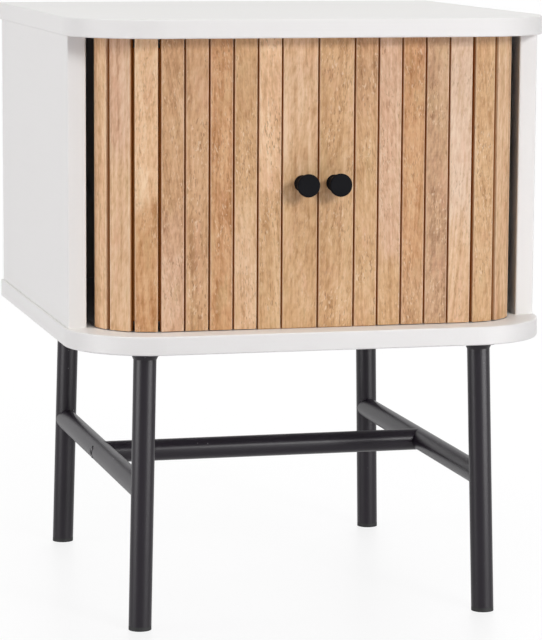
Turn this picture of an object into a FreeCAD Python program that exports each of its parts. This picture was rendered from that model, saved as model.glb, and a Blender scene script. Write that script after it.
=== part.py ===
"""Nightstand: a white cabinet with two sliding slatted leaves, on a black tube frame."""
import FreeCAD, Part
import math
import os

V = FreeCAD.Vector
UP = V(0, 0, 1)
ORIGIN = V(0, 0, 0)

# Cabinet box: two like panels with rounded front corners, two sides and a back
panel_width = 472.0
panel_depth = 450.0
panel_thickness = 18.0
corner_radius = 83.0
arris_radius = 1.5
inner_height = 277.0
side_thickness = 18.0
side_inset = 3.0
side_front_setback = 73.5
back_thickness = 6.0
back_lap = 10.0
back_clearance = 0.4

# Dowels between sides and panels, and screws that hold the back
dowel_diameter = 8.0
dowel_length = 30.0
dowel_end_distance = 45.0
dowel_end_clearance = 1.0
back_screw_diameter = 3.5
back_screw_head_diameter = 6.4
back_screw_length = 16.0
back_screw_corner_distance = 40.0
back_screw_columns = 3
back_screw_rows = 3

# Cross recess in every screw head
recess_span = 0.5
recess_width = 0.9
recess_depth = 1.2

# Sliding leaves: one wide lead slat and a run of narrow ones on a cloth backing
narrow_slats = 8
guided_slats = 1
lead_pitch = 35.5
leaf_shortfall = 12.5
slat_gap = 1.8
slat_thickness = 7.0
slat_arris_radius = 0.8
slat_setback = 28.0
slat_end_clearance = 0.8
backing_thickness = 0.8
backing_glue_line = 0.1
backing_end_margin = 9.0

# Groove in both panels and the tongues of the guided slats
tongue_thickness = 4.0
tongue_length = 5.0
groove_side_clearance = 0.4
groove_end_clearance = 1.0
groove_back_margin = 22.0

# Knobs
knob_offset = 15.75
knob_diameter = 22.0
knob_rim_thickness = 4.0
knob_rim_round = 1.4
knob_neck_diameter = 13.0
knob_base_diameter = 16.0
knob_base_thickness = 1.5
knob_projection = 25.0
knob_screw_diameter = 4.0
knob_screw_head_diameter = 8.0
knob_screw_head_thickness = 2.4
knob_screw_bite = 12.0
knob_screw_clearance = 0.3

# Tube frame
leg_height = 268.5
tube_diameter = 22.0
tube_wall = 1.5
cope_clearance = 0.1
leg_side_inset = 70.5
leg_front_inset = 39.5
leg_back_inset = 17.6
leg_splay = 6.5
stretcher_height = 134.5
foot_thickness = 4.0
foot_plug_length = 12.0
foot_plug_clearance = 0.2

# Plates on the leg tops, the weld beads round the legs and the screws
plate_thickness = 4.0
plate_width = 28.0
plate_length = 72.0
plate_corner_radius = 6.0
weld_width = 2.3
weld_height = 4.5
weld_edge = 0.2
plate_screw_diameter = 4.0
plate_screw_head_diameter = 8.0
plate_screw_head_thickness = 2.5
plate_screw_depth = 13.0
plate_screw_first = 32.0
plate_screw_step = 26.0

# Shoulder bolts that hold the cross stretcher between the two side frames
bolt_diameter = 6.0
bolt_head_diameter = 11.6
bolt_head_thickness = 3.4
bolt_head_round = 1.0
bolt_head_sunk = 0.2
bolt_head_clearance = 0.9
bolt_shoulder_diameter = 9.0
bolt_shoulder_clearance = 0.3
bolt_socket_across_flats = 5.0
bolt_socket_depth = 2.4
bolt_clearance = 0.3
insert_length = 18.0
insert_clearance = 0.1
bolt_reach = 14.0

# Places that follow from the sizes above
box_bottom = leg_height
box_floor = box_bottom + panel_thickness
box_ceiling = box_floor + inner_height
box_top = box_ceiling + panel_thickness
panel_front = -panel_depth / 2
panel_back = panel_depth / 2
side_outer_x = panel_width / 2 - side_inset
side_inner_x = side_outer_x - side_thickness
side_front = panel_front + side_front_setback
slat_face_y = panel_front + slat_setback
slat_back_y = slat_face_y + slat_thickness
slat_pitch = (panel_width / 2 - lead_pitch - leaf_shortfall) / narrow_slats
corner_centre_x = panel_width / 2 - corner_radius
corner_centre_y = panel_front + corner_radius
hinge_radius = corner_radius - slat_setback - slat_thickness
slat_bottom = box_floor + slat_end_clearance
slat_height = inner_height - 2 * slat_end_clearance
knob_height = box_floor + inner_height / 2
leg_half_spacing = panel_width / 2 - leg_side_inset
front_leg_y = panel_front + leg_front_inset
rear_leg_y = panel_back - leg_back_inset
tube_radius = tube_diameter / 2
tube_bore = tube_radius - tube_wall
leg_top = leg_height - plate_thickness


def box(x0, x1, y0, y1, z0, z1):
    """Axis-aligned block between two corners."""
    return Part.makeBox(x1 - x0, y1 - y0, z1 - z0, V(x0, y0, z0))


def rod(start, end, radius):
    """Round bar from start to end."""
    return Part.makeCylinder(radius, (end - start).Length, start, end - start)


def arc(centre, radius, start_degrees, end_degrees):
    """Arc edge about a vertical axis, given by its two end angles."""
    angles = (start_degrees, (start_degrees + end_degrees) / 2, end_degrees)
    points = [centre + V(math.cos(math.radians(a)), math.sin(math.radians(a)), 0) * radius for a in angles]
    return Part.Arc(*points).toShape()


def line(start, end):
    return Part.LineSegment(start, end).toShape()


def mirrored(shape):
    """The like piece on the left half."""
    return shape.mirror(ORIGIN, V(1, 0, 0))


def outline(offset, back_y):
    """Edges of the panel's front outline, drawn in by offset, from left back round to right back."""
    half = panel_width / 2 - offset
    radius = corner_radius - offset
    front = panel_front + offset
    left = V(-corner_centre_x, corner_centre_y, 0)
    right = V(corner_centre_x, corner_centre_y, 0)
    return [
        line(V(-half, back_y, 0), V(-half, corner_centre_y, 0)),
        arc(left, radius, 180, 270),
        line(V(-corner_centre_x, front, 0), V(corner_centre_x, front, 0)),
        arc(right, radius, 270, 360),
        line(V(half, corner_centre_y, 0), V(half, back_y, 0)),
    ]


def panel_blank(bottom):
    """Board with rounded front corners and eased arrises."""
    half = panel_width / 2
    edges = outline(0, panel_back)
    edges.append(line(V(half, panel_back, 0), V(-half, panel_back, 0)))
    board = Part.Face(Part.Wire(edges)).extrude(UP * panel_thickness)
    board = board.makeFillet(arris_radius, board.Edges)
    board.translate(UP * bottom)
    return board


def groove(mouth, depth_step):
    """Track for the tongues: a channel from the left side round the front to the right side."""
    middle = slat_setback + slat_thickness / 2
    half_width = tongue_thickness / 2 + groove_side_clearance
    end_y = panel_back - groove_back_margin
    outer_x = panel_width / 2 - (middle - half_width)
    inner_x = panel_width / 2 - (middle + half_width)
    outer = outline(middle - half_width, end_y)
    inner = outline(middle + half_width, end_y)
    ends = [line(V(x * outer_x, end_y, 0), V(x * inner_x, end_y, 0)) for x in (-1, 1)]
    wire = Part.Wire(Part.__sortEdges__(outer + inner + ends))
    channel = Part.Face(wire).extrude(UP * depth_step)
    channel.translate(UP * mouth)
    return channel


def dowel_places():
    """Dowel centres on the right side panel: x, y."""
    x = (side_outer_x + side_inner_x) / 2
    front = side_front + dowel_end_distance
    back = panel_back - back_thickness - dowel_end_distance
    return [V(x, y, 0) for y in (front, (front + back) / 2, back)]


def both_sides(points):
    """The points of the right half and their mirror images."""
    return points + [V(-p.x, p.y, p.z) for p in points]


def dowel_holes(joint_z):
    """Holes across a joint between a side panel and a horizontal panel."""
    reach = dowel_length / 2 + dowel_end_clearance
    return [
        rod(p + UP * (joint_z - reach), p + UP * (joint_z + reach), dowel_diameter / 2)
        for p in both_sides(dowel_places())
    ]


def back_rebate():
    """Space that the back panel needs in the panels and sides."""
    half = side_inner_x + back_lap
    return box(-half, half, panel_back - back_thickness, panel_back + back_thickness,
               box_floor - back_lap, box_ceiling + back_lap)


def back_screw_places():
    """Screw centres in the lap of the back panel: x, z."""
    x_edge = side_inner_x + back_lap / 2
    low = box_floor - back_lap / 2
    high = box_ceiling + back_lap / 2
    z_first = box_floor + back_screw_corner_distance
    z_last = box_ceiling - back_screw_corner_distance
    x_last = side_inner_x - back_screw_corner_distance
    places = []
    for k in range(back_screw_rows):
        z = z_first + (z_last - z_first) * k / (back_screw_rows - 1)
        places += [V(-x_edge, 0, z), V(x_edge, 0, z)]
    for k in range(back_screw_columns):
        x = -x_last + 2 * x_last * k / (back_screw_columns - 1)
        places += [V(x, 0, low), V(x, 0, high)]
    return places


def cross_recess(head_diameter):
    """Cross-shaped recess, sunk upwards from the origin into a screw head."""
    half = head_diameter * recess_span / 2
    thin = recess_width / 2
    slot = box(-half, half, -thin, thin, 0, recess_depth)
    return slot.fuse(box(-thin, thin, -half, half, 0, recess_depth)).removeSplitter()


def recess_from_behind(head_diameter, place):
    """The same recess sunk forwards into a head that faces the back."""
    recess = cross_recess(head_diameter)
    recess.rotate(ORIGIN, V(1, 0, 0), 90)
    recess.translate(place)
    return recess


def countersunk_blank(place):
    """Outline of a countersunk wood screw driven forward from the face of the back panel."""
    head = back_screw_head_diameter / 2
    shank = back_screw_diameter / 2
    taper = head - shank
    profile = [V(0, 0, 0), V(head, 0, 0), V(shank, -taper, 0), V(shank, taper - back_screw_length, 0),
               V(0, -back_screw_length, 0), V(0, 0, 0)]
    body = Part.Face(Part.makePolygon(profile)).revolve(ORIGIN, V(0, 1, 0), 360)
    body.translate(V(place.x, panel_back, place.z))
    return body


def back_screw_holes():
    return [countersunk_blank(p) for p in back_screw_places()]


def back_screw_set():
    """Screws of the back panel, flush with its face."""
    screws = []
    for p in back_screw_places():
        face = V(p.x, panel_back, p.z)
        screws.append(countersunk_blank(p).cut(recess_from_behind(back_screw_head_diameter, face)))
    return screws


def plate_screw_places():
    """Screw centres of one plate, counted from its leg: distance along the plate."""
    return [plate_screw_first, plate_screw_first + plate_screw_step]


def leg_sign(front):
    return -1 if front else 1


def leg_foot(front):
    """Right-hand leg axis at the floor."""
    y = front_leg_y if front else rear_leg_y
    return V(leg_half_spacing + leg_splay, y + leg_sign(front) * leg_splay, 0)


def leg_head(front):
    """Right-hand leg axis at the underside of the cabinet."""
    return V(leg_half_spacing, front_leg_y if front else rear_leg_y, leg_height)


def leg_axis(front, z):
    """Point of the right-hand leg axis at height z."""
    share = z / leg_height
    return leg_foot(front) * (1 - share) + leg_head(front) * share


def leaning_bar(front, radius, z0, z1):
    """Round bar along the leaning leg axis, cut level at both ends."""
    over = tube_diameter
    bar = rod(leg_axis(front, z0 - over), leg_axis(front, z1 + over), radius)
    middle = leg_axis(front, (z0 + z1) / 2)
    reach = tube_diameter + leg_splay
    slab = box(middle.x - reach, middle.x + reach, middle.y - reach, middle.y + reach, z0, z1)
    return bar.common(slab)


def leg_outer(front):
    return leaning_bar(front, tube_radius, foot_thickness, leg_top)


def leg(front):
    """Tube leg from the foot cap to its plate."""
    return leg_outer(front).cut(leaning_bar(front, tube_bore, foot_thickness, leg_top))


def foot(front):
    """End cap: a disc on the floor and a plug in the tube."""
    disc = leaning_bar(front, tube_radius, 0, foot_thickness)
    plug = leaning_bar(front, tube_bore - foot_plug_clearance, 0, foot_thickness + foot_plug_length)
    return disc.fuse(plug).removeSplitter()


def plate_screw_axis(front):
    """Screw points of the right-hand plate on the underside of the cabinet."""
    head = leg_head(front)
    return [V(head.x, head.y - leg_sign(front) * d, leg_height) for d in plate_screw_places()]


def leg_plate(front):
    """Steel strip under the cabinet, with the leg at one end and screw holes along it."""
    head = leg_head(front)
    inward = -leg_sign(front)
    near = head.y - inward * plate_width / 2
    far = near + inward * plate_length
    half = plate_width / 2
    strip = box(head.x - half, head.x + half, min(near, far), max(near, far), leg_top, leg_height)
    upright = [e for e in strip.Edges if abs(e.tangentAt(e.FirstParameter).z) > 0.5]
    strip = strip.makeFillet(plate_corner_radius, upright)
    for p in plate_screw_axis(front):
        strip = strip.cut(rod(p - UP * plate_thickness, p, plate_screw_diameter / 2))
    return strip.fuse(weld_bead(front)).removeSplitter()


def weld_bead(front):
    """Weld metal in the corner between a leg and its plate."""
    root = plate_thickness / 8
    slope = (weld_width - weld_edge) / weld_height
    top = leg_axis(front, leg_top + root)
    toe = leg_axis(front, leg_top - weld_height)
    cone = Part.makeCone(tube_radius + weld_width + slope * root, tube_radius + weld_edge,
                         (toe - top).Length, top, toe - top)
    return cone.cut(leg_outer(front))


def plate_screw_points():
    return both_sides(plate_screw_axis(True) + plate_screw_axis(False))


def plate_screw_holes():
    """Pilot holes in the bottom panel."""
    return [rod(p, p + UP * plate_screw_depth, plate_screw_diameter / 2) for p in plate_screw_points()]


def plate_screw(place):
    """Pan-head screw up through the plate into the bottom panel."""
    head = place - UP * (plate_thickness + plate_screw_head_thickness)
    shank = rod(head, place + UP * plate_screw_depth, plate_screw_diameter / 2)
    screw = shank.fuse(rod(head, place - UP * plate_thickness, plate_screw_head_diameter / 2)).removeSplitter()
    recess = cross_recess(plate_screw_head_diameter)
    recess.translate(head)
    return screw.cut(recess)


def plate_screw_set():
    return [plate_screw(p) for p in plate_screw_points()]


def side_stretcher_ends():
    return leg_axis(True, stretcher_height), leg_axis(False, stretcher_height)


def side_stretcher_bar(radius):
    start, end = side_stretcher_ends()
    return rod(start, end, radius)


def cross_y():
    start, end = side_stretcher_ends()
    return (start.y + end.y) / 2


def cross_end():
    """Point on the right side stretcher's axis where the cross stretcher meets it."""
    start, end = side_stretcher_ends()
    return (start + end) / 2


def bolt_hole():
    """Holes in the side stretcher: a wide one outside for the bolt's head, a narrow one inside for its thread."""
    middle = cross_end()
    reach = V(tube_diameter, 0, 0)
    wide = rod(middle + reach, middle, bolt_head_diameter / 2 + bolt_head_clearance)
    return wide.fuse(rod(middle, middle - reach, bolt_diameter / 2 + bolt_clearance))


def side_stretcher():
    """Tube between two legs, coped to fit round them, with the bolt hole at its middle."""
    tube = side_stretcher_bar(tube_radius).cut(side_stretcher_bar(tube_bore))
    for front in (True, False):
        tube = tube.cut(leaning_bar(front, tube_radius + cope_clearance, foot_thickness, leg_top))
    return tube.cut(bolt_hole())


def cross_stretcher():
    """Tube between the two side stretchers, coped to fit against them."""
    right = cross_end()
    left = V(-right.x, right.y, right.z)
    tube = rod(left, right, tube_radius).cut(rod(left, right, tube_bore))
    side = side_stretcher_bar(tube_radius + cope_clearance)
    return tube.cut(side).cut(mirrored(side))


def thread_insert():
    """Threaded plug in the right end of the cross stretcher."""
    face = cross_end() - V(tube_radius, 0, 0)
    plug = rod(face, face - V(insert_length, 0, 0), tube_bore - insert_clearance)
    return plug.cut(bolt_hole_in_insert())


def bolt_hole_in_insert():
    face = cross_end()
    return rod(face, face - V(tube_radius + insert_length, 0, 0), bolt_diameter / 2)


def hex_socket(across_flats, depth):
    """Hexagonal socket, sunk along -Y from the origin."""
    corner = across_flats / math.sqrt(3)
    points = [V(corner * math.cos(math.radians(a)), 0, corner * math.sin(math.radians(a)))
              for a in range(0, 361, 60)]
    return Part.Face(Part.makePolygon(points)).extrude(V(0, -depth, 0))


def cross_bolt():
    """Bolt whose head lies in the outer wall of the right side stretcher and whose shoulder reaches the inner wall."""
    rim = bolt_head_diameter / 2
    shoulder = bolt_shoulder_diameter / 2
    thread = bolt_diameter / 2
    r = bolt_head_round
    lean = r * (1 - math.sqrt(0.5))
    face = tube_radius - bolt_head_sunk
    neck = face - bolt_head_thickness
    step = bolt_shoulder_clearance - math.sqrt(tube_bore ** 2 - shoulder ** 2)
    end = -tube_radius - bolt_reach
    corners = [V(rim - r, face, 0), V(0, face, 0), V(0, end, 0), V(thread, end, 0), V(thread, step, 0),
               V(shoulder, step, 0), V(shoulder, neck, 0), V(rim, neck, 0), V(rim, face - r, 0)]
    edges = [line(a, b) for a, b in zip(corners, corners[1:])]
    edges.append(Part.Arc(corners[-1], V(rim - lean, face - lean, 0), corners[0]).toShape())
    bolt = Part.Face(Part.Wire(edges)).revolve(ORIGIN, V(0, 1, 0), 360)
    socket = hex_socket(bolt_socket_across_flats, bolt_socket_depth)
    socket.translate(V(0, face, 0))
    bolt = bolt.cut(socket)
    bolt.rotate(ORIGIN, UP, -90)
    bolt.translate(cross_end())
    return bolt


def track_point(distance):
    """Point of the leaf's hinge line, at a distance along it from the middle of the front."""
    if distance <= corner_centre_x:
        return V(distance, slat_back_y, 0)
    angle = (distance - corner_centre_x) / hinge_radius
    if angle <= math.pi / 2:
        return V(corner_centre_x + hinge_radius * math.sin(angle),
                 slat_back_y + hinge_radius * (1 - math.cos(angle)), 0)
    past = distance - corner_centre_x - hinge_radius * math.pi / 2
    return V(corner_centre_x + hinge_radius, slat_back_y + hinge_radius + past, 0)


def next_hinge(start, pitch):
    """Distance along the track of the hinge that lies one slat pitch from the hinge at start."""
    here = track_point(start)
    low = start
    high = start + 2 * pitch
    for _ in range(60):
        middle = (low + high) / 2
        if (track_point(middle) - here).Length < pitch:
            low = middle
        else:
            high = middle
    return low


def hinge_points():
    """Hinge line of the closed right leaf: the middle of the front, then one point for each slat's end."""
    distances = [0.0]
    for k in range(narrow_slats + 1):
        distances.append(next_hinge(distances[-1], slat_pitch if k else lead_pitch))
    return [track_point(d) for d in distances]


def slat_blank(width):
    """Slat along +X from its hinge, its back on the X axis, with eased front arrises."""
    blank = box(slat_gap / 2, width - slat_gap / 2, -slat_thickness, 0, slat_bottom, slat_bottom + slat_height)
    front = [e for e in blank.Edges
             if abs(e.tangentAt(e.FirstParameter).z) > 0.5 and e.CenterOfMass.y < -slat_thickness / 2]
    return blank.makeFillet(slat_arris_radius, front)


def with_tongues(blank, width):
    """Adds the tongues that run in the grooves of the panels."""
    low = -(slat_thickness + tongue_thickness) / 2
    tongue = box(slat_gap / 2, width - slat_gap / 2, low, low + tongue_thickness,
                 box_floor - tongue_length, box_ceiling + tongue_length)
    return blank.fuse(tongue).removeSplitter()


def placed_slat(blank, start, end):
    """Moves a slat onto two neighbouring hinge points."""
    heading = math.degrees(math.atan2(end.y - start.y, end.x - start.x))
    slat = blank.copy()
    slat.rotate(ORIGIN, UP, heading)
    slat.translate(start)
    return slat


def knob_seat():
    """Point on the face of the right lead slat where its knob stands."""
    return V(knob_offset, slat_face_y, knob_height)


def knob_screw_back():
    """Face of the backing cloth under the knob screw's head."""
    return slat_back_y + backing_glue_line + backing_thickness


def lead_slat():
    """Wide slat at the middle of the front, with tongues and the hole for the knob screw."""
    points = hinge_points()
    slat = placed_slat(with_tongues(slat_blank(lead_pitch), lead_pitch), points[0], points[1])
    seat = knob_seat()
    hole = rod(seat, V(seat.x, slat_back_y, seat.z), knob_screw_diameter / 2 + knob_screw_clearance)
    return slat.cut(hole)


def narrow_slat(number):
    """One narrow slat, counted from the lead slat."""
    points = hinge_points()
    blank = slat_blank(slat_pitch)
    if number <= guided_slats:
        blank = with_tongues(blank, slat_pitch)
    return placed_slat(blank, points[number], points[number + 1])


def backing():
    """Cloth glued to the backs of one leaf's slats, bent at each hinge."""
    points = hinge_points()
    points[0] = points[0] + V(slat_gap / 2, 0, 0)
    last = points[-1] - points[-2]
    points[-1] = points[-1] - last * (slat_gap / 2 / last.Length)
    rows = []
    for depth in (backing_glue_line, backing_glue_line + backing_thickness):
        rows.append([inward(points, k, depth) for k in range(len(points))])
    loop = rows[0] + rows[1][::-1] + rows[0][:1]
    cloth = Part.Face(Part.makePolygon(loop)).extrude(UP * (slat_height - 2 * backing_end_margin))
    cloth.translate(UP * (slat_bottom + backing_end_margin))
    seat = knob_seat()
    hole = rod(V(seat.x, slat_back_y - 1, seat.z), V(seat.x, knob_screw_back() + 1, seat.z),
               knob_screw_diameter / 2 + knob_screw_clearance)
    return cloth.cut(hole)


def inward(points, index, depth):
    """A hinge point moved into the cabinet by depth, along the bisector of its two slats."""
    before = points[index] - points[index - 1] if index else points[1] - points[0]
    after = points[index + 1] - points[index] if index + 1 < len(points) else before
    normals = [V(-d.y, d.x, 0) * (1 / d.Length) for d in (before, after)]
    bisector = normals[0] + normals[1]
    return points[index] + bisector * (2 * depth / bisector.Length ** 2)


def knob():
    """Turned knob: a waisted neck that flares from its foot to a flat face with a rounded rim."""
    rim = knob_diameter / 2
    neck = knob_neck_diameter / 2
    foot_radius = knob_base_diameter / 2
    rim_back = knob_projection - knob_rim_thickness
    waist = knob_base_thickness + (rim_back - knob_base_thickness) * 0.4
    r = knob_rim_round
    lean = r * (1 - math.sqrt(0.5))
    edges = [
        line(V(0, 0, 0), V(foot_radius, 0, 0)),
        line(V(foot_radius, 0, 0), V(foot_radius, knob_base_thickness, 0)),
        Part.Arc(V(foot_radius, knob_base_thickness, 0), V(neck, waist, 0), V(rim - r, rim_back, 0)).toShape(),
        Part.Arc(V(rim - r, rim_back, 0), V(rim - lean, rim_back + lean, 0), V(rim, rim_back + r, 0)).toShape(),
        line(V(rim, rim_back + r, 0), V(rim, knob_projection - r, 0)),
        Part.Arc(V(rim, knob_projection - r, 0), V(rim - lean, knob_projection - lean, 0),
                 V(rim - r, knob_projection, 0)).toShape(),
        line(V(rim - r, knob_projection, 0), V(0, knob_projection, 0)),
        line(V(0, knob_projection, 0), V(0, 0, 0)),
    ]
    turned = Part.Face(Part.Wire(edges)).revolve(ORIGIN, V(0, 1, 0), 360)
    turned = turned.cut(rod(ORIGIN, V(0, knob_screw_bite, 0), knob_screw_diameter / 2))
    turned.rotate(ORIGIN, UP, 180)
    turned.translate(knob_seat())
    return turned


def knob_screw():
    """Pan-head screw from inside, through backing and slat, into the knob."""
    seat = knob_seat()
    back = V(seat.x, knob_screw_back(), seat.z)
    face = back + V(0, knob_screw_head_thickness, 0)
    screw = rod(back, face, knob_screw_head_diameter / 2)
    screw = screw.fuse(rod(back, seat - V(0, knob_screw_bite, 0), knob_screw_diameter / 2)).removeSplitter()
    return screw.cut(recess_from_behind(knob_screw_head_diameter, face))


def top_panel():
    """Upper board: groove and dowel holes below, rebate for the back."""
    board = panel_blank(box_ceiling)
    board = board.cut(groove(box_ceiling, tongue_length + groove_end_clearance))
    return board.cut([back_rebate()] + dowel_holes(box_ceiling) + back_screw_holes())


def bottom_panel():
    """Lower board: groove and dowel holes above, screw holes for the leg plates below."""
    depth = tongue_length + groove_end_clearance
    board = panel_blank(box_bottom).cut(groove(box_floor - depth, depth))
    return board.cut([back_rebate()] + dowel_holes(box_floor) + back_screw_holes() + plate_screw_holes())


def side_panel():
    """Right side board between the two panels, rebated for the back."""
    board = box(side_inner_x, side_outer_x, side_front, panel_back, box_floor, box_ceiling)
    front = [e for e in board.Edges
             if abs(e.tangentAt(e.FirstParameter).z) > 0.5 and e.CenterOfMass.y < 0]
    board = board.makeFillet(arris_radius, front)
    return board.cut([back_rebate()] + dowel_holes(box_floor) + dowel_holes(box_ceiling) + back_screw_holes())


def back_panel():
    """Thin board in the rebates, flush with the back edges."""
    half = side_inner_x + back_lap - back_clearance
    board = box(-half, half, panel_back - back_thickness, panel_back,
                box_floor - back_lap + back_clearance, box_ceiling + back_lap - back_clearance)
    return board.cut(back_screw_holes())


def dowel_set():
    half = dowel_length / 2
    pins = []
    for joint_z in (box_floor, box_ceiling):
        for p in both_sides(dowel_places()):
            pins.append(rod(p + UP * (joint_z - half), p + UP * (joint_z + half), dowel_diameter / 2))
    return pins


def save(name, *solids):
    """Writes one node: a single solid, or a group of like ones."""
    shape = solids[0] if len(solids) == 1 else Part.makeCompound(solids)
    shape.exportStep("parts/" + name + ".step")


def save_pair(name, right):
    """Writes a right-hand piece and its mirror image."""
    save("right_" + name, right)
    save("left_" + name, mirrored(right))


os.makedirs("parts", exist_ok=True)

save("top_panel", top_panel())
save("bottom_panel", bottom_panel())
save_pair("side_panel", side_panel())
save("back_panel", back_panel())
save("panel_dowels", *dowel_set())
save("back_screws", *back_screw_set())

save_pair("lead_slat", lead_slat())
for n in range(1, narrow_slats + 1):
    save_pair("slat_%d" % n, narrow_slat(n))
save_pair("backing", backing())
save_pair("knob", knob())
save_pair("knob_screw", knob_screw())

for place, is_front in (("front", True), ("rear", False)):
    save_pair(place + "_leg", leg(is_front))
    save_pair(place + "_foot", foot(is_front))
    save_pair(place + "_leg_plate", leg_plate(is_front))
save("plate_screws", *plate_screw_set())
save_pair("side_stretcher", side_stretcher())
save("cross_stretcher", cross_stretcher())
save("stretcher_inserts", thread_insert(), mirrored(thread_insert()))
save("stretcher_bolts", cross_bolt(), mirrored(cross_bolt()))
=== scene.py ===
import math

import bmesh
import bpy
from mathutils import Matrix, Vector


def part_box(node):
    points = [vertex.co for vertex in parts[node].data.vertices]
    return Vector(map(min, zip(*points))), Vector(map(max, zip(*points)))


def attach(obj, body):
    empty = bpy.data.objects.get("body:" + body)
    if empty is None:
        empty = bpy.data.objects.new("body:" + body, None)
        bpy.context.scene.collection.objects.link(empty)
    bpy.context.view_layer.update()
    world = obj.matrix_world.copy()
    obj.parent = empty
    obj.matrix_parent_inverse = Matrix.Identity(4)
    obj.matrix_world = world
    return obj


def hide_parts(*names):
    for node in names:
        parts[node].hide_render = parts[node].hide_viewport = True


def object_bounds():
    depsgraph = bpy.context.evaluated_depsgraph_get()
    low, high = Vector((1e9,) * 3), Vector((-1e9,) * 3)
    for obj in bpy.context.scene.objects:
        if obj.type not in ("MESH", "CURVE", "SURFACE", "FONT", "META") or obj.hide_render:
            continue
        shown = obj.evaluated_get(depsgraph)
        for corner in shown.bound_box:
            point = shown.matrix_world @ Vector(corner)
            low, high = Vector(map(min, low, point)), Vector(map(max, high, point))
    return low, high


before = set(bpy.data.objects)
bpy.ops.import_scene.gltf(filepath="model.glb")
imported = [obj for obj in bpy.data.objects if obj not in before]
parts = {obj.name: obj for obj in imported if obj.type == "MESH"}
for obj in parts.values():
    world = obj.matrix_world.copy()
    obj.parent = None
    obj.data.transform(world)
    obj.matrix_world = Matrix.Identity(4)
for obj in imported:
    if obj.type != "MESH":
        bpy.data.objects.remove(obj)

cad_low, cad_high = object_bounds()


# Tube frame: four splayed legs, two side stretchers welded between them and a cross stretcher bolted
# across the middle, all of round steel tube. The steel is sprayed with black powder and baked to a
# satin coat, which flows out into a fine orange peel with a few dust nibs caught in it.

class Shade:
    """One output of a shader node. Sums, differences and products of such values become Math nodes."""

    def __init__(self, tree, output):
        self.tree = tree
        self.output = output

    def node(self, kind, settings=None, sockets=None, out=0):
        """Adds a node: its settings first, then the values or links of its sockets."""
        made = self.tree.nodes.new(kind)
        for name, value in (settings or {}).items():
            if name == "stops":
                set_stops(made.color_ramp.elements, value)
            else:
                setattr(made, name, value)
        for key, value in (sockets or {}).items():
            if isinstance(value, Shade):
                self.tree.links.new(value.output, made.inputs[key])
            else:
                made.inputs[key].default_value = value
        return Shade(self.tree, made.outputs[out])

    def maths(self, operation, first, second):
        return self.node("ShaderNodeMath", {"operation": operation}, {0: first, 1: second})

    def __add__(self, other):
        return self.maths("ADD", self, other)

    def __radd__(self, other):
        return self.maths("ADD", other, self)

    def __sub__(self, other):
        return self.maths("SUBTRACT", self, other)

    def __rsub__(self, other):
        return self.maths("SUBTRACT", other, self)

    def __mul__(self, other):
        return self.maths("MULTIPLY", self, other)

    def __rmul__(self, other):
        return self.maths("MULTIPLY", other, self)


def set_stops(elements, stops):
    """Gives a colour ramp its stops, as pairs of position and colour."""
    while len(elements) < len(stops):
        elements.new(1.0)
    for element, (position, colour) in zip(elements, stops):
        element.position = position
        element.color = colour


def new_finish(name, **constants):
    """A material with one shader; also gives that shader and the piece's own coordinates in metres."""
    finish = bpy.data.materials.new(name)
    finish.use_nodes = True
    tree = finish.node_tree
    shader = tree.nodes["Principled BSDF"]
    for socket, value in constants.items():
        shader.inputs[socket.replace("_", " ")].default_value = value
    place = Shade(tree, tree.nodes.new("ShaderNodeTexCoord").outputs["Object"])
    return finish, shader, place


def feed(shader, socket, value):
    """Links a value to one of a shader's sockets."""
    value.tree.links.new(value.output, shader.inputs[socket])


def emboss(shader, height, depth):
    """Turns a height from 0 to 1 into bumps of the given depth in metres."""
    feed(shader, "Normal", height.node("ShaderNodeBump", None, {
        "Strength": 1.0, "Distance": depth, "Height": height}))


def stretch(place, per_metre):
    """Coordinates counted in pattern cells per metre along X, Y and Z."""
    return place.node("ShaderNodeVectorMath", {"operation": "MULTIPLY"}, {0: place, 1: per_metre})


def noise(place, per_metre, detail=2.0, roughness=0.5, distortion=0.0, seed=0.0):
    """Soft noise from 0 to 1 with so many cells per metre, the same all ways or along X, Y and Z."""
    if not isinstance(per_metre, tuple):
        per_metre = (per_metre,) * 3
    return place.node("ShaderNodeTexNoise", {"noise_dimensions": "4D"}, {
        "Vector": stretch(place, per_metre), "W": seed, "Scale": 1.0, "Detail": detail,
        "Roughness": roughness, "Distortion": distortion})


def rise(value, low, high):
    """0 below low, 1 above high, with a smooth step between."""
    return value.node("ShaderNodeMapRange", {"interpolation_type": "SMOOTHSTEP"}, {
        "Value": value, "From Min": low, "From Max": high})


def blend(factor, first, second):
    """Mixes two colours."""
    return factor.node("ShaderNodeMix", {"data_type": "RGBA"}, {0: factor, 6: first, 7: second}, out=2)


def srgb(red, green, blue):
    """A colour read from a screen, 0 to 255, as the linear one that shaders take."""
    def linear(level):
        level /= 255
        return level / 12.92 if level <= 0.04045 else ((level + 0.055) / 1.055) ** 2.4
    return (linear(red), linear(green), linear(blue), 1.0)


def dress(finish, *names):
    """Gives CAD parts that keep their shape a better material."""
    for name in names:
        for material_slot in parts[name].material_slots:
            material_slot.material = finish


CORNERS = ["left_front", "left_rear", "right_front", "right_rear"]
COAT_BLACK = srgb(19, 13, 22)
COAT_CHARCOAL = srgb(26, 19, 29)
COAT_CLOUDS_PER_METRE = 9
PEEL_PER_METRE = 620
PEEL_DEPTH = 0.00005
NIB_GREY = srgb(150, 150, 152)
NIBS_PER_METRE = 330
NIB_LEVELS = (0.83, 0.88)

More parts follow.
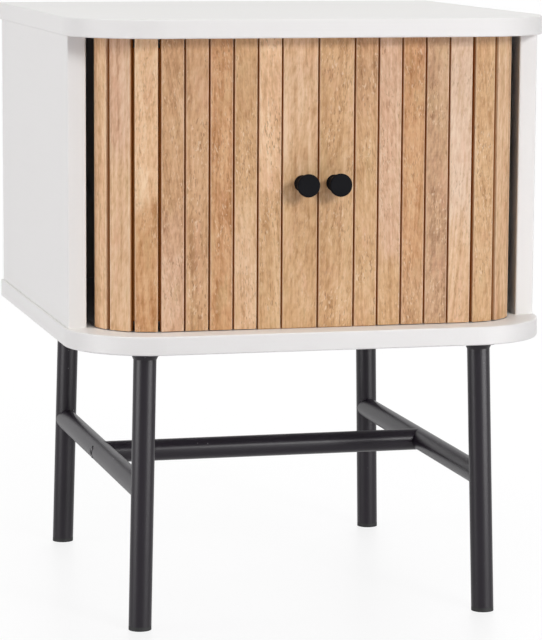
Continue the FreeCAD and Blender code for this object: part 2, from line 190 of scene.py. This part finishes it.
powder_coat, shader, place = new_finish("black_powder_coat", Specular_IOR_Level=0.30)
peel = noise(place, PEEL_PER_METRE, detail=1.0)
cloud = noise(place, COAT_CLOUDS_PER_METRE, detail=3.0)
nibs = rise(noise(place, NIBS_PER_METRE, detail=0.0), *NIB_LEVELS)
coat_colour = blend(cloud, COAT_BLACK, COAT_CHARCOAL)
feed(shader, "Base Color", blend(nibs * 0.5, coat_colour, NIB_GREY))
feed(shader, "Roughness", 0.30 + cloud * 0.07 + peel * 0.05)
emboss(shader, peel + nibs * 0.8, depth=PEEL_DEPTH)
dress(powder_coat, "left_side_stretcher", "right_side_stretcher", "cross_stretcher", "stretcher_bolts")
dress(powder_coat, *[corner + "_leg" for corner in CORNERS])
dress(powder_coat, *[corner + "_leg_plate" for corner in CORNERS])


# Foot caps: moulded plastic plugs pushed into the leg ends, with a disc as wide as the tube that
# stands on the floor. The mould leaves a fine matte grain, and use has scuffed the caps here and there.

FOOT_BLACK = srgb(22, 22, 23)
MOULD_GRAIN_PER_METRE = 1400
MOULD_GRAIN_DEPTH = 0.00008
SCUFF_GREY = srgb(62, 61, 60)
SCUFFS_PER_METRE = (160, 420, 900)
SCUFF_LEVELS = (0.58, 0.75)

foot_plastic, shader, place = new_finish("foot_plastic", Specular_IOR_Level=0.4)
mould_grain = noise(place, MOULD_GRAIN_PER_METRE, detail=1.0)
scuffs = rise(noise(place, SCUFFS_PER_METRE, detail=3.0), *SCUFF_LEVELS)
feed(shader, "Base Color", blend(scuffs * 0.35, FOOT_BLACK, SCUFF_GREY))
feed(shader, "Roughness", 0.55 + mould_grain * 0.15)
emboss(shader, mould_grain, depth=MOULD_GRAIN_DEPTH)
dress(foot_plastic, *[corner + "_foot" for corner in CORNERS])


# Fasteners: zinc-plated screws under the leg plates, round the back and behind the knobs, and the
# threaded plugs in the cross stretcher. Plating leaves a cloudy, faintly yellow-blue bright grey.

ZINC_BLUE = srgb(186, 189, 194)
ZINC_YELLOW = srgb(204, 198, 182)
PASSIVATION_PER_METRE = 210
PLATING_GRAIN_PER_METRE = 1700
PLATING_GRAIN_DEPTH = 0.00004

zinc, shader, place = new_finish("zinc_plate", Metallic=1.0)
passivation = noise(place, PASSIVATION_PER_METRE, detail=2.0)
plating_grain = noise(place, PLATING_GRAIN_PER_METRE, detail=1.0)
feed(shader, "Base Color", blend(passivation, ZINC_BLUE, ZINC_YELLOW))
feed(shader, "Roughness", 0.26 + passivation * 0.12 + plating_grain * 0.08)
emboss(shader, plating_grain, depth=PLATING_GRAIN_DEPTH)
dress(zinc, "plate_screws", "back_screws", "stretcher_inserts", "left_knob_screw", "right_knob_screw")


# Cabinet boards: two like panels with rounded front corners, two sides dowelled between them and a
# thin back screwed into a rebate, of board sprayed with white satin lacquer. The lacquer levels out
# to a faint stipple, and long sanding lines of the primer show through along each board.

LACQUER_SHADE = srgb(229, 227, 225)
LACQUER_WHITE = srgb(235, 234, 232)
LACQUER_CLOUDS_PER_METRE = 7
LACQUER_DEPTH = 0.00006
STIPPLE_PER_METRE = 520
SANDING_ACROSS_PER_METRE = 420.0
SANDING_ALONG_PER_METRE = 5.0


def white_lacquer(name, lines_along):
    """Satin white, with sanding lines along one axis (0 for X, 1 for Y, 2 for Z)."""
    finish, shader, place = new_finish(name, Specular_IOR_Level=0.45)
    lines_per_metre = [SANDING_ACROSS_PER_METRE] * 3
    lines_per_metre[lines_along] = SANDING_ALONG_PER_METRE
    lines = noise(place, tuple(lines_per_metre), detail=2.0)
    stipple = noise(place, STIPPLE_PER_METRE, detail=1.0)
    cloud = noise(place, LACQUER_CLOUDS_PER_METRE, detail=2.0)
    feed(shader, "Base Color", blend(cloud * 0.6 + lines * 0.4, LACQUER_SHADE, LACQUER_WHITE))
    feed(shader, "Roughness", 0.38 + cloud * 0.08 + lines * 0.08)
    emboss(shader, stipple * 0.6 + lines * 0.4, depth=LACQUER_DEPTH)
    return finish


dress(white_lacquer("white_lacquer_panels", lines_along=0), "top_panel", "bottom_panel")
dress(white_lacquer("white_lacquer_sides", lines_along=1), "left_side_panel", "right_side_panel")
dress(white_lacquer("white_lacquer_back", lines_along=0), "back_panel")


# Dowels: beech pins glued into holes across the joints of sides and panels, out of sight once the
# cabinet is together. The short brown flecks are the rays that beech shows along its grain.

BEECH = srgb(214, 178, 138)
BEECH_RAY_BROWN = srgb(158, 112, 74)
BEECH_RAYS_PER_METRE = (900, 900, 160)
BEECH_RAY_LEVELS = (0.56, 0.70)
BEECH_RAY_DEPTH = 0.0001

dowel_beech, shader, place = new_finish("dowel_beech", Specular_IOR_Level=0.3)
beech_rays = rise(noise(place, BEECH_RAYS_PER_METRE, detail=1.0), *BEECH_RAY_LEVELS)
feed(shader, "Base Color", blend(beech_rays * 0.5, BEECH, BEECH_RAY_BROWN))
feed(shader, "Roughness", 0.62 + beech_rays * 0.12)
emboss(shader, beech_rays, depth=BEECH_RAY_DEPTH)
dress(dowel_beech, "panel_dowels")


# Slats: strips of a tropical hardwood, planed, eased along the front edges and oiled. Each strip is
# cut from another board, so tone, mottle and the lean of the grain differ from slat to slat; at the
# corners the tones also carry painted light. One wide lead slat and eight narrow ones make a leaf,
# hinged on cloth so that it bends round the corner.

SLATS = 8
CORNER_RADIUS = 0.083
HINGE_SEARCH_STEPS = 50
lead_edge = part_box("right_lead_slat")[1].x
first_low, first_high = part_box("right_slat_1")
slat_gap = first_low.x - lead_edge
slat_thickness = first_high.y - first_low.y
slat_back = first_high.y
lead_pitch = lead_edge + slat_gap / 2
slat_pitch = first_high.x - first_low.x + slat_gap
corner_x = cad_high.x - CORNER_RADIUS
hinge_radius = cad_low.y + CORNER_RADIUS - slat_back


def track_point(distance):
    """A point of the right leaf's hinge line, by its distance along the track from the middle."""
    if distance <= corner_x:
        return Vector((distance, slat_back, 0))
    angle = (distance - corner_x) / hinge_radius
    return Vector((corner_x + hinge_radius * math.sin(angle),
                   slat_back + hinge_radius * (1 - math.cos(angle)), 0))


def next_hinge(start, pitch):
    """Distance along the track of the hinge one slat pitch on from start."""
    low, high = start, start + 2 * pitch
    for _ in range(HINGE_SEARCH_STEPS):
        halfway = (low + high) / 2
        if (track_point(halfway) - track_point(start)).length < pitch:
            low = halfway
        else:
            high = halfway
    return low


hinge_distances = [0.0, next_hinge(0.0, lead_pitch)]
for number in range(SLATS):
    hinge_distances.append(next_hinge(hinge_distances[-1], slat_pitch))
hinges = [track_point(distance) for distance in hinge_distances]


def heading(number):
    """How far slat number (0 is the lead) of the right leaf is turned from the front, in radians."""
    run = hinges[number + 1] - hinges[number]
    return math.atan2(run.y, run.x)


def slat_place(name):
    """Middle of a slat's back edge, its turn from the front, its hinge pitch, and a seed of its own."""
    side, _, piece = name.partition("_")
    number = 0 if piece == "lead_slat" else int(piece[-1])
    middle = (hinges[number] + hinges[number + 1]) / 2
    pitch = (hinges[number + 1] - hinges[number]).length
    turn = heading(number)
    seed = 1.7 * (number + 1)
    if side == "left":
        middle.x = -middle.x
        turn = -turn
        seed += 40
    return middle, turn, pitch, seed


# Tones of the timber, each as its dark, middle and light
TONES = {
    "golden": (srgb(187, 141, 95), srgb(212, 169, 124), srgb(227, 190, 148)),
    "honey": (srgb(194, 147, 104), srgb(221, 180, 140), srgb(235, 200, 164)),
    "orange": (srgb(176, 121, 74), srgb(207, 156, 111), srgb(222, 178, 134)),
    "tan": (srgb(176, 131, 91), srgb(205, 160, 118), srgb(221, 181, 142)),
    "umber": (srgb(168, 127, 94), srgb(202, 160, 123), srgb(218, 181, 146)),
    "pink": (srgb(190, 143, 110), srgb(217, 175, 142), srgb(232, 197, 166)),
    "cream": (srgb(209, 171, 139), srgb(228, 196, 168), srgb(239, 213, 188)),
    "straw": (srgb(206, 159, 116), srgb(234, 192, 151), srgb(246, 213, 176)),
}
TONE_LEVELS = (0.2, 0.5, 0.8)
ROSE_CAST = srgb(222, 168, 138)
OLIVE_CAST = srgb(206, 176, 128)
PORE_BROWN = srgb(140, 96, 62)
PALE_FLECK_AND_HIGHLIGHT_CREAM = srgb(238, 213, 182)
# Painted shade: the slat sides turn these browns towards the back, standing in for the shade in the gaps
# between slats, darker at the corners
PAINTED_GAP_SHADE_BROWN = srgb(200, 126, 26)
CORNER_PAINTED_GAP_SHADE_BROWN = srgb(160, 98, 26)

# Cells of the timber's patterns per metre across, through and along a slat
GRAIN_PER_METRE = (120, 120, 4.0)
FIBRES_PER_METRE = (430, 430, 14)
WISPS_PER_METRE = (330, 330, 95)
CLUSTERS_PER_METRE = (70, 70, 26)
PORES_PER_METRE = (900, 900, 210)
FLECKS_AND_GLINTS_PER_METRE = (760, 760, 230)
PATCHES_PER_METRE = (42, 42, 19)
CASTS_PER_METRE = (75, 75, 24)
RIPPLES_PER_METRE = (60, 60, 240)

# Levels of a pattern between which its marks come in
CLUSTER_LEVELS = (0.42, 0.60)
PORE_LEVELS = (0.56, 0.68)
FLECK_AND_GLINT_LEVELS = (0.57, 0.70)
CAST_LEVELS = (0.52, 0.80)

INTERLOCK_LEANS = (-8, 6)
PORE_DEPTH = 0.00018
SEAM_WANDER = 0.12
SEAM_BLUR = 0.035
# Widths of the painted highlight along both front edges of a slat
EDGE_HIGHLIGHT_WIDTH = 0.0026
FULL_EDGE_HIGHLIGHT_WIDTH = 0.0012
GAP_SHADE_STARTS = -0.92 * slat_thickness
GAP_SHADE_IS_FULL = -0.4 * slat_thickness
CORNER_TURN = math.radians(8)


def axis(place, number):
    """One of the coordinates: 0 for X, 1 for Y, 2 for Z."""
    return place.node("ShaderNodeSeparateXYZ", None, {0: place}, out=number)


def leaned(place, degrees):
    """Coordinates leaned sideways in the face of a slat."""
    return place.node("ShaderNodeMapping", None, {
        "Vector": place, "Rotation": (0, math.radians(degrees), 0)})


def swing(pattern, amount):
    """How far a pattern goes from its middle level, times an amount."""
    return (pattern - 0.5) * amount


def timber(tone, level):
    """The colour of one tone, from its dark at a low level to its light at a high one."""
    stops = tuple(zip(TONE_LEVELS, TONES[tone]))
    return level.node("ShaderNodeValToRGB", {"stops": stops}, {0: level})


def dress_slat(name, tone, below=None, seam=0.42, mottle=0.5, curl=0.15, lean=1.5, speckle=1.0):
    """Gives one slat its own oiled timber, which may go over into another tone below the height seam.

    Mottle is the strength of the patches, curl that of the ripples across the grain, and lean the
    grain's slant in degrees. Less speckle leaves fewer pores and pale flecks (partly painted glints)
    and longer streaks.
    """
    middle, turn, pitch, seed = slat_place(name)
    finish, shader, place = new_finish(name + "_wood", Specular_IOR_Level=0.18)
    across = place.node("ShaderNodeMapping", None, {
        "Vector": place, "Rotation": (0, 0, -turn), "Location": Matrix.Rotation(-turn, 3, "Z") @ -middle})
    grainwise = leaned(across, lean)
    interlocked = leaned(across, INTERLOCK_LEANS[round(seed) % 2])

    grain = noise(grainwise, GRAIN_PER_METRE, detail=4.0, roughness=0.55, distortion=0.6, seed=seed)
    fibre = noise(grainwise, FIBRES_PER_METRE, detail=3.0, roughness=0.6, seed=seed)
    wisps = noise(interlocked, WISPS_PER_METRE, detail=2.0, roughness=0.6, seed=seed + 0.5)
    patch = noise(across, PATCHES_PER_METRE, detail=3.0, seed=seed)
    cast = noise(across, CASTS_PER_METRE, detail=3.0, roughness=0.6, seed=seed + 0.3)
    ripple = noise(across, RIPPLES_PER_METRE, detail=2.0, distortion=0.8, seed=seed)
    clusters = noise(across, CLUSTERS_PER_METRE, detail=2.0, seed=seed + 0.7)
    crowding = 0.3 + rise(clusters, *CLUSTER_LEVELS) * 0.7
    pore_spots = noise(grainwise, PORES_PER_METRE, detail=1.0, seed=seed)
    pores = rise(pore_spots, *PORE_LEVELS) * crowding
    # The pale flecks are partly the timber's own flecks and partly painted glints of light on the oiled
    # grain
    fleck_and_glint_spots = noise(interlocked, FLECKS_AND_GLINTS_PER_METRE, detail=1.0, distortion=0.4, seed=seed)
    flecks_and_glints = rise(fleck_and_glint_spots, *FLECK_AND_GLINT_LEVELS) * crowding

    level = (0.5 + swing(grain, 1.6 - 0.8 * speckle) + swing(fibre, 0.8) + swing(wisps, 1.0)
             + swing(patch, 1.25 * mottle) + swing(ripple, curl))
    above = rise(axis(place, 2) + swing(patch, SEAM_WANDER), seam - SEAM_BLUR, seam + SEAM_BLUR)
    colour = blend(above, timber(below or tone, level), timber(tone, level))
    colour = blend(rise(cast, *CAST_LEVELS) * 0.45, colour, ROSE_CAST)
    colour = blend(rise(1 - cast, *CAST_LEVELS) * 0.45, colour, OLIVE_CAST)
    colour = blend(pores * (0.54 * speckle), colour, PORE_BROWN)
    colour = blend(flecks_and_glints * (0.55 * speckle), colour, PALE_FLECK_AND_HIGHLIGHT_CREAM)
    sideways = axis(across, 0)
    from_middle = sideways.node("ShaderNodeMath", {"operation": "ABSOLUTE"}, {0: sideways})
    # Painted highlight: a pale line along both front edges of the slat, where the eased arris catches the
    # light
    painted_edge_highlight = rise(from_middle, pitch / 2 - EDGE_HIGHLIGHT_WIDTH, pitch / 2 - FULL_EDGE_HIGHLIGHT_WIDTH)
    colour = blend(painted_edge_highlight * 0.35, colour, PALE_FLECK_AND_HIGHLIGHT_CREAM)
    # Painted shade: each slat's sides darken to brown towards its back, where the gaps between slats fall
    # into shade
    painted_gap_shade = rise(axis(across, 1), GAP_SHADE_STARTS, GAP_SHADE_IS_FULL)
    painted_gap_shade_colour = CORNER_PAINTED_GAP_SHADE_BROWN if abs(turn) > CORNER_TURN else PAINTED_GAP_SHADE_BROWN
    feed(shader, "Base Color", blend(painted_gap_shade * 0.95, colour, painted_gap_shade_colour))
    feed(shader, "Roughness", 0.52 + pores * 0.18 - swing(grain, 0.12))
    emboss(shader, fibre * 0.4 + 0.6 - pores * 0.6, depth=PORE_DEPTH)
    dress(finish, name)


# Partly painted light: slats 6 to 8 of the left leaf get light tones and slat 8 of the right leaf a darker
# one, as if more light fell from the front left
dress_slat("left_slat_8", "straw", mottle=0.4, lean=0.5, speckle=0.5)
dress_slat("left_slat_7", "pink", below="honey", seam=0.46, mottle=0.2, curl=0.05, lean=0.8, speckle=0.2)
dress_slat("left_slat_6", "straw", below="orange", seam=0.41, mottle=0.7, curl=0.25, lean=4.0, speckle=0.8)
dress_slat("left_slat_5", "tan", below="pink", seam=0.38, mottle=0.6, lean=9.0)
dress_slat("left_slat_4", "tan", mottle=0.5, lean=2.0)
dress_slat("left_slat_3", "orange", mottle=0.5, lean=-2.0)
dress_slat("left_slat_2", "golden", below="honey", seam=0.40, mottle=0.6)
dress_slat("left_slat_1", "straw", below="golden", seam=0.40, mottle=0.5, lean=3.0)
dress_slat("left_lead_slat", "honey", below="golden", seam=0.44, mottle=0.3, lean=1.0, speckle=0.45)
dress_slat("right_lead_slat", "golden", mottle=0.4, lean=-2.0)
dress_slat("right_slat_1", "tan", below="golden", seam=0.48, mottle=0.7)
dress_slat("right_slat_2", "pink", below="golden", seam=0.36, mottle=0.4, lean=2.0)
dress_slat("right_slat_3", "orange", below="tan", seam=0.34, mottle=0.6, lean=-3.0)
dress_slat("right_slat_4", "umber", mottle=0.6, curl=0.25, lean=1.0)
dress_slat("right_slat_5", "cream", below="honey", seam=0.40, mottle=0.15, curl=0.05, lean=-4.0,
           speckle=0.6)
dress_slat("right_slat_6", "golden", mottle=0.3, curl=0.2, lean=6.0)
dress_slat("right_slat_7", "honey", mottle=0.2, curl=0.05, lean=0.5, speckle=0.5)
dress_slat("right_slat_8", "tan", mottle=0.4)


# Backing: brown woven cloth glued behind the slats of each leaf, the hinge that lets the leaf bend.
# It is cut here at the hinge lines, one strip behind each slat, so that every strip goes with its
# slat. The strips all but meet at the lines, where the real cloth folds, and are mitred behind them.

FOLD_GAP = 0.00005
FOLD_MITRE = 0.0003
CLOTH_THICKNESS = 0.0008
CLOTH_BROWN = srgb(170, 104, 42)
CLOTH_TAN = srgb(206, 142, 74)
WEAVE_SCALE = 350.0
WEAVE_DEPTH = 0.0002
cloth_low, cloth_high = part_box("right_backing")
cloth_face = cloth_low.y

backing_cloth, shader, place = new_finish("backing_cloth", Specular_IOR_Level=0.15, Sheen_Weight=0.2)
thread = place.node("ShaderNodeTexCoord", None, None, out="UV")
warp = thread.node("ShaderNodeTexWave", {"bands_direction": "X"}, {"Vector": thread, "Scale": WEAVE_SCALE})
weft = thread.node("ShaderNodeTexWave", {"bands_direction": "Y"}, {"Vector": thread, "Scale": WEAVE_SCALE})
weave = warp * 0.5 + weft * 0.5
feed(shader, "Base Color", blend(weave, CLOTH_BROWN, CLOTH_TAN))
feed(shader, "Roughness", 0.8 + weave * 0.15)
emboss(shader, weave, depth=WEAVE_DEPTH)


def cloth_strip(side, number):
    """The strip of cloth behind one slat, made to the size that it is cut to."""
    run = (hinges[number + 1] - hinges[number]).length
    width = run - 2 * FOLD_GAP
    height = cloth_high.z - cloth_low.z
    shape = bmesh.new()
    bmesh.ops.create_cube(shape, size=1.0)
    bmesh.ops.scale(shape, verts=shape.verts, vec=(width, CLOTH_THICKNESS, height))
    behind = [vert for vert in shape.verts if vert.co.y > 0]
    bmesh.ops.scale(shape, verts=behind, vec=(1 - 2 * FOLD_MITRE / width, 1, 1))
    uv = shape.loops.layers.uv.new("threads")
    for face in shape.faces:
        for corner in face.loops:
            corner[uv].uv = (corner.vert.co.x, corner.vert.co.z)
    bmesh.ops.translate(shape, verts=shape.verts, vec=(
        run / 2, cloth_face - slat_back + CLOTH_THICKNESS / 2, (cloth_low.z + cloth_high.z) / 2))
    bmesh.ops.rotate(shape, verts=shape.verts, cent=(0, 0, 0),
                     matrix=Matrix.Rotation(heading(number), 3, "Z"))
    bmesh.ops.translate(shape, verts=shape.verts, vec=hinges[number])
    if side == "left":
        bmesh.ops.scale(shape, verts=shape.verts, vec=(-1, 1, 1))
    bmesh.ops.recalc_face_normals(shape, faces=shape.faces)
    mesh = bpy.data.meshes.new("%s_cloth_%d" % (side, number))
    shape.to_mesh(mesh)
    shape.free()
    mesh.materials.append(backing_cloth)
    strip = bpy.data.objects.new(mesh.name, mesh)
    bpy.context.scene.collection.objects.link(strip)
    slat = "%s_slat_%d" % (side, number) if number else side + "_lead_slat"
    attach(strip, slat if number else side + "_lead")
    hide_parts(side + "_backing")


for side in ("left", "right"):
    for number in range(SLATS + 1):
        cloth_strip(side, number)


# Knobs: turned pieces, a waisted neck that flares to a flat round face, finished matte black. Each
# is held by a screw from inside through the lead slat. Fingers have rubbed the fine grain smoother.

KNOB_BLACK = srgb(11, 11, 14)
HANDLED_BLACK = srgb(20, 20, 24)
HANDLING_PER_METRE = 60
KNOB_GRAIN_PER_METRE = 1500
KNOB_GRAIN_DEPTH = 0.00006

knob_black, shader, place = new_finish("knob_black", Specular_IOR_Level=0.05)
knob_grain = noise(place, KNOB_GRAIN_PER_METRE, detail=2.0)
handling = noise(place, HANDLING_PER_METRE, detail=2.0)
feed(shader, "Base Color", blend(handling, KNOB_BLACK, HANDLED_BLACK))
feed(shader, "Roughness", 0.52 + knob_grain * 0.14 - handling * 0.08)
emboss(shader, knob_grain, depth=KNOB_GRAIN_DEPTH)
dress(knob_black, "left_knob", "right_knob")


# Floor and light: a white studio floor that runs out into a white surround, soft boxes in front, to
# the left, behind and overhead, and even light from the room. Two low strips draw the bright bands
# down the tubes and light nothing else.

WHITE = (1.0, 1.0, 1.0, 1.0)
FLOOR_RADIUS = 8.0
FLOOR_GREY = srgb(208, 205, 211)
FLOOR_PALE = srgb(214, 212, 217)
FLOOR_SEEN = srgb(243, 242, 244)
FLOOR_CLOUDS_PER_METRE = 1.5
FLOOR_GLOSS = 0.09
FLOOR_GLOSS_ROUGHNESS = 0.5
NEAR_WHITENESS = 0.91
NEAR_RADIUS = 0.35
FAR_RADIUS = 1.4
ROOM_LEVEL = 0.20


def seen_rays(tree):
    """1 for rays from the camera, straight or by way of gloss or glass, and 0 for those that light."""
    paths = tree.nodes.new("ShaderNodeLightPath").outputs
    seen = Shade(tree, paths["Is Camera Ray"])
    for ray in ("Is Glossy Ray", "Is Transmission Ray"):
        seen = seen.maths("MAXIMUM", seen, Shade(tree, paths[ray]))
    return seen


def mix_shaders(factor, first, second):
    return factor.node("ShaderNodeMixShader", None, {0: factor, 1: first, 2: second})


floor_shape = bmesh.new()
bmesh.ops.create_circle(floor_shape, cap_ends=True, segments=96, radius=FLOOR_RADIUS)
floor_mesh = bpy.data.meshes.new("floor")
floor_shape.to_mesh(floor_mesh)
floor_shape.free()
floor = bpy.data.objects.new("floor", floor_mesh)
bpy.context.scene.collection.objects.link(floor)
floor_paint, shader, place = new_finish("floor_paint", Roughness=0.3, Specular_IOR_Level=0.4)
seen = seen_rays(place.tree)
floor_colour = blend(noise(place, FLOOR_CLOUDS_PER_METRE, detail=2.0), FLOOR_GREY, FLOOR_PALE)
feed(shader, "Base Color", blend(seen, floor_colour, FLOOR_SEEN))
from_object = place.node("ShaderNodeVectorMath", {"operation": "LENGTH"}, {0: place}, out=1)
far = rise(from_object, NEAR_RADIUS, FAR_RADIUS)
lit = Shade(place.tree, shader.outputs[0])
white = place.node("ShaderNodeEmission", None, {"Color": WHITE, "Strength": 1.0})
gloss = place.node("ShaderNodeBsdfAnisotropic", None, {"Color": WHITE, "Roughness": FLOOR_GLOSS_ROUGHNESS})
clear = place.node("ShaderNodeBsdfTransparent")
below_floor = place.node("ShaderNodeNewGeometry", None, None, out="Backfacing")
whitened = mix_shaders(seen * (NEAR_WHITENESS + far * (1 - NEAR_WHITENESS)), lit, white)
top_side = mix_shaders(seen * FLOOR_GLOSS, whitened, gloss)
both_sides = mix_shaders(below_floor, top_side, clear)
feed(place.tree.nodes["Material Output"], "Surface", both_sides)
floor_mesh.materials.append(floor_paint)

world = bpy.data.worlds.new("studio")
world.use_nodes = True
bpy.context.scene.world = world
background = world.node_tree.nodes["Background"]
background.inputs["Color"].default_value = WHITE
feed(background, "Strength", ROOM_LEVEL + seen_rays(world.node_tree) * (1.0 - ROOM_LEVEL))

object_middle = (cad_low + cad_high) / 2


def soft_box(name, place, width, height, power, lights=True, shines=True):
    """A soft box aimed at the object, which lights matte surfaces, shines in gloss or does both."""
    light = bpy.data.lights.new(name, "AREA")
    light.shape = "RECTANGLE"
    light.size = width
    light.size_y = height
    light.energy = power
    lamp = bpy.data.objects.new(name, light)
    lamp.location = place
    lamp.rotation_mode = "QUATERNION"
    lamp.rotation_quaternion = (object_middle - Vector(place)).to_track_quat("-Z", "Y")
    lamp.visible_camera = False
    lamp.visible_diffuse = lights
    lamp.visible_glossy = shines
    bpy.context.scene.collection.objects.link(lamp)


soft_box("key_soft_box", (1.02, -2.66, 1.35), width=0.6, height=0.6, power=38.0)
soft_box("left_soft_box", (-2.8, -0.1, 1.4), width=1.5, height=1.5, power=38.0, shines=False)
soft_box("back_soft_box", (1.4, 2.45, 1.3), width=1.5, height=1.5, power=40.0, shines=False)
soft_box("overhead_soft_box", (0.0, -0.95, 3.15), width=2.2, height=2.2, power=30.0)
soft_box("right_strip_box", (1.093, -1.302, 0.14), width=1.1, height=0.25, power=14.0, lights=False)
soft_box("left_strip_box", (-1.634, -0.469, 0.14), width=1.0, height=0.25, power=9.5, lights=False)


# Camera: stands in front, to the left of the middle and a little above the top, and looks slightly
# down through a long lens. Its place and turn were fitted to the edges of the object.

IMAGE_LONG_SIDE = 640
FOCAL_PIXELS = 2978.3
CAMERA_PLACE = Vector((-0.7440, -2.9109, 0.6970))
CAMERA_TURN = math.radians(14.43)
CAMERA_TILT = math.radians(8.157)
CAMERA_ROLL = math.radians(0.321)
ahead = Vector((math.sin(CAMERA_TURN) * math.cos(CAMERA_TILT),
                math.cos(CAMERA_TURN) * math.cos(CAMERA_TILT),
                -math.sin(CAMERA_TILT)))
sideways = Vector((math.cos(CAMERA_TURN), -math.sin(CAMERA_TURN), 0))
upright = sideways.cross(ahead)
to_right = sideways * math.cos(CAMERA_ROLL) + upright * math.sin(CAMERA_ROLL)
to_top = upright * math.cos(CAMERA_ROLL) - sideways * math.sin(CAMERA_ROLL)
camera_axes = Matrix((to_right, to_top, -ahead)).transposed()
camera_data = bpy.data.cameras.new("camera")
camera_data.lens = camera_data.sensor_width * FOCAL_PIXELS / IMAGE_LONG_SIDE
camera = bpy.data.objects.new("camera", camera_data)
camera.matrix_world = Matrix.Translation(CAMERA_PLACE) @ camera_axes.to_4x4()
bpy.context.scene.collection.objects.link(camera)
bpy.context.scene.camera = camera
bpy.context.scene.view_settings.view_transform = "Standard"
